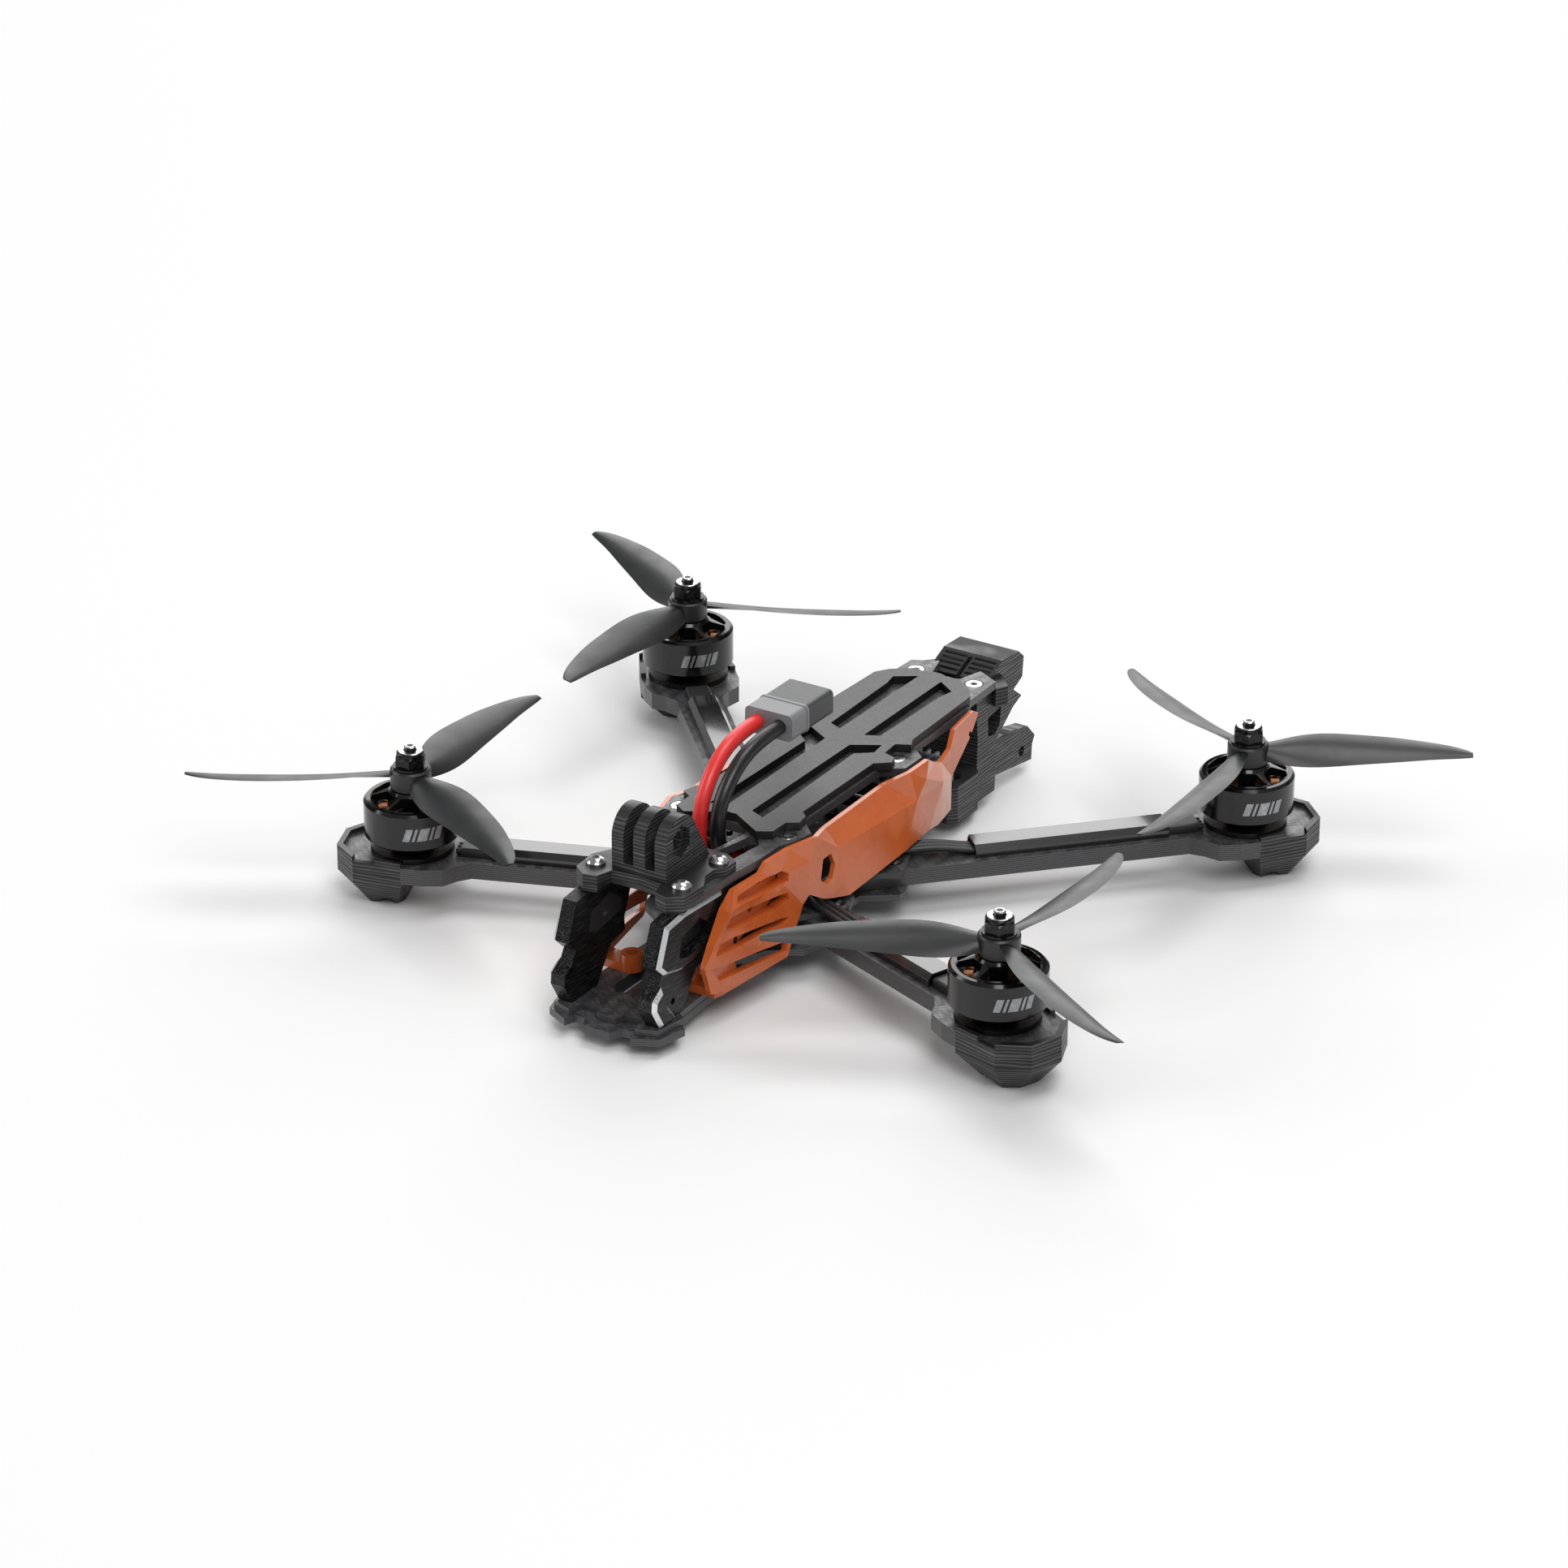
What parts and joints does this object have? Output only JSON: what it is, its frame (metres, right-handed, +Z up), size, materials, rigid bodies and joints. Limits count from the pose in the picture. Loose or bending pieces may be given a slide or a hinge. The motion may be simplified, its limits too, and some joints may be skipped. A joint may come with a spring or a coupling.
{
  "type": "fpv racing drone",
  "caption": "Racing quadcopter with swept carbon arms, orange side panels, corner bumpers, turning propellers and a floating power plug on red and black leads.",
  "frame": {"origin": "on the ground under the middle of the craft's own box in plan", "axes": "+Z up, nose towards -Y, +X to the craft's left"},
  "size_m": [0.3066, 0.227, 0.0667],
  "materials": {
    "bell_black": "gloss black anodised",
    "board_black": "black circuit board",
    "bracket_alloy": "brushed, dark",
    "bright_steel": "bright steel",
    "cage_alloy": "dark anodised with bright bevels",
    "capacitor_sleeve": "shrink sleeve",
    "carbon": "woven carbon laminate, satin",
    "copper": "enamelled copper wire",
    "dark_steel": "black oxide",
    "lead_black": "silicone insulation",
    "lead_red": "silicone insulation",
    "module_grey": "bare alloy case",
    "motor_alloy": "dark anodised",
    "nut_black": "black oxide with worn edges",
    "pad_rubber": "grey grip sheet",
    "panel_orange": "translucent burnt orange",
    "plug_dark": "dark grey moulded nylon",
    "post_alloy": "turned aluminium",
    "printed_black": "printed flexible plastic with fine layer lines",
    "prop_black": "satin moulded plastic",
    "sheath_grey": "light grey moulded nylon",
    "sleeve_black": "printed plastic",
    "stator_iron": "laminated iron",
    "wire_black": "silicone insulation"
  },
  "bodies": {
    "frame": {"accessory_mount": "printed_black", "antenna_bracket": "printed_black", "arm_front_left": "carbon", "arm_front_right": "carbon", "arm_rear_left": "carbon", "arm_rear_right": "carbon", "arm_screws": "dark_steel", "battery_pad": "pad_rubber", "bottom_plate": "carbon", "bumper_front_left": "printed_black", "bumper_front_right": "printed_black", "bumper_rear_left": "printed_black", "bumper_rear_right": "printed_black", "cage_plate_left": "cage_alloy", "cage_plate_right": "cage_alloy", "camera_brackets": "bracket_alloy", "capacitor": "capacitor_sleeve", "clamp_plate": "carbon", "connector_body": "plug_dark", "connector_pins": "bright_steel", "connector_sheath": "sheath_grey", "flight_controller": "board_black", "motor_base_front_left": "motor_alloy", "motor_base_front_right": "motor_alloy", "motor_base_rear_left": "motor_alloy", "motor_base_rear_right": "motor_alloy", "motor_screws": "dark_steel", "motor_windings": "copper", "motor_wires": "wire_black", "mount_screws": "bright_steel", "nose_plate": "carbon", "power_lead_black": "lead_black", "power_lead_red": "lead_red", "side_panel_left": "panel_orange", "side_panel_right": "panel_orange", "skid_plate": "carbon", "speed_controller": "board_black", "stack_hardware": "dark_steel", "standoffs": "post_alloy", "stators": "stator_iron", "top_plate": "carbon", "top_screws": "bright_steel", "video_transmitter": "module_grey", "wire_boots": "wire_black", "wire_sleeve_front_left": "sleeve_black", "wire_sleeve_front_right": "sleeve_black", "wire_sleeve_rear_left": "sleeve_black", "wire_sleeve_rear_right": "sleeve_black"},
    "rotor_front_left": {"bell_front_left": "bell_black", "propeller_front_left": "prop_black", "prop_nut_front_left": "nut_black"},
    "rotor_front_right": {"bell_front_right": "bell_black", "propeller_front_right": "prop_black", "prop_nut_front_right": "nut_black"},
    "rotor_rear_left": {"bell_rear_left": "bell_black", "propeller_rear_left": "prop_black", "prop_nut_rear_left": "nut_black"},
    "rotor_rear_right": {"bell_rear_right": "bell_black", "propeller_rear_right": "prop_black", "prop_nut_rear_right": "nut_black"}
  },
  "joints": [
    {"name": "spin_front_left", "type": "hinge", "parent": "frame", "child": "rotor_front_left", "pos_m": [0.097, -0.06345, 0.0254], "axis": [0, 0, 1], "continuous": true},
    {"name": "spin_front_right", "type": "hinge", "parent": "frame", "child": "rotor_front_right", "pos_m": [-0.097, -0.06345, 0.0254], "axis": [0, 0, 1], "continuous": true},
    {"name": "spin_rear_left", "type": "hinge", "parent": "frame", "child": "rotor_rear_left", "pos_m": [0.096, 0.07915, 0.0254], "axis": [0, 0, 1], "continuous": true},
    {"name": "spin_rear_right", "type": "hinge", "parent": "frame", "child": "rotor_rear_right", "pos_m": [-0.096, 0.07915, 0.0254], "axis": [0, 0, 1], "continuous": true}
  ]
}
